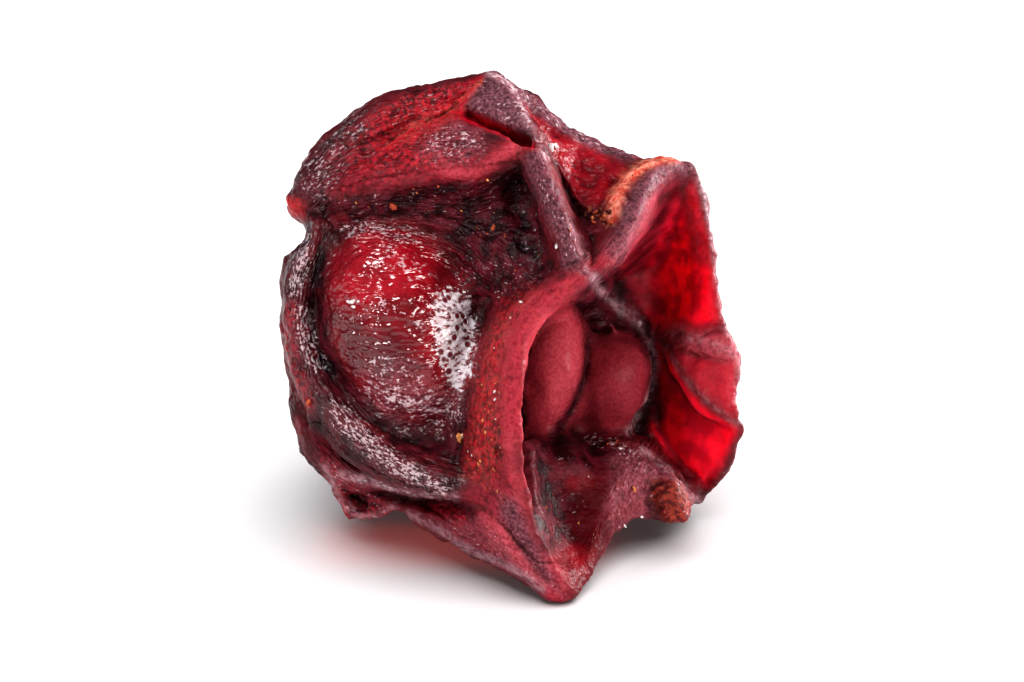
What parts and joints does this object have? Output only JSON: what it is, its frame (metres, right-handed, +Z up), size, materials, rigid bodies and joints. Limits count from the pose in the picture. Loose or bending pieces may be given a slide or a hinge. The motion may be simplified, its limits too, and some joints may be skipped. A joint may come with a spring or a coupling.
{
  "type": "dried schisandra berry",
  "caption": "Shrivelled dried berry whose folded skin lies open on one side like a cup, with seed swellings on the cup's floor.",
  "frame": {"origin": "middle of the berry's box across and deep, on the surface it rests on", "axes": "+Z up, -Y towards the open cup side, +X to the right as seen from that side"},
  "size_m": [0.007, 0.007, 0.0066],
  "materials": {
    "dried_skin": "half glossy"
  },
  "bodies": {
    "root": {"berry": "dried_skin"}
  },
  "joints": []
}
